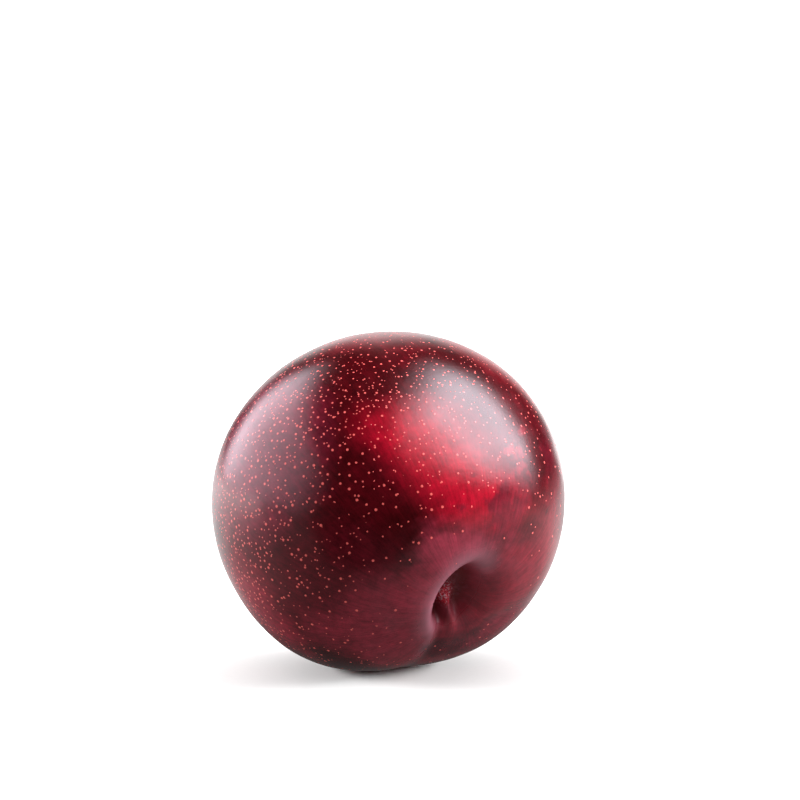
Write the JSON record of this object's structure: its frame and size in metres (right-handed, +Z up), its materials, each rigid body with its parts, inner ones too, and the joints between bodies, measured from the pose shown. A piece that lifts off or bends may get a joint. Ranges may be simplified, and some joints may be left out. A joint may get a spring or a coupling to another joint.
{
  "type": "plum",
  "caption": "Whole ripe plum with glossy dark red skin, pale dots, a shallow suture and a deep stem cavity, lying on its side on a small flat spot.",
  "frame": {"origin": "middle of the flat spot that the fruit rests on", "axes": "+Z up; the stem end faces -Y and dips about 29 degrees towards the floor, the blossom end faces +Y, X runs across the two cheeks, and the suture runs underneath"},
  "size_m": [0.0604, 0.0556, 0.0573],
  "materials": {
    "skin": "smooth, glossy, naturally waxed fruit skin, dark red with small pale dots"
  },
  "bodies": {
    "root": {"plum": "skin"}
  },
  "joints": []
}
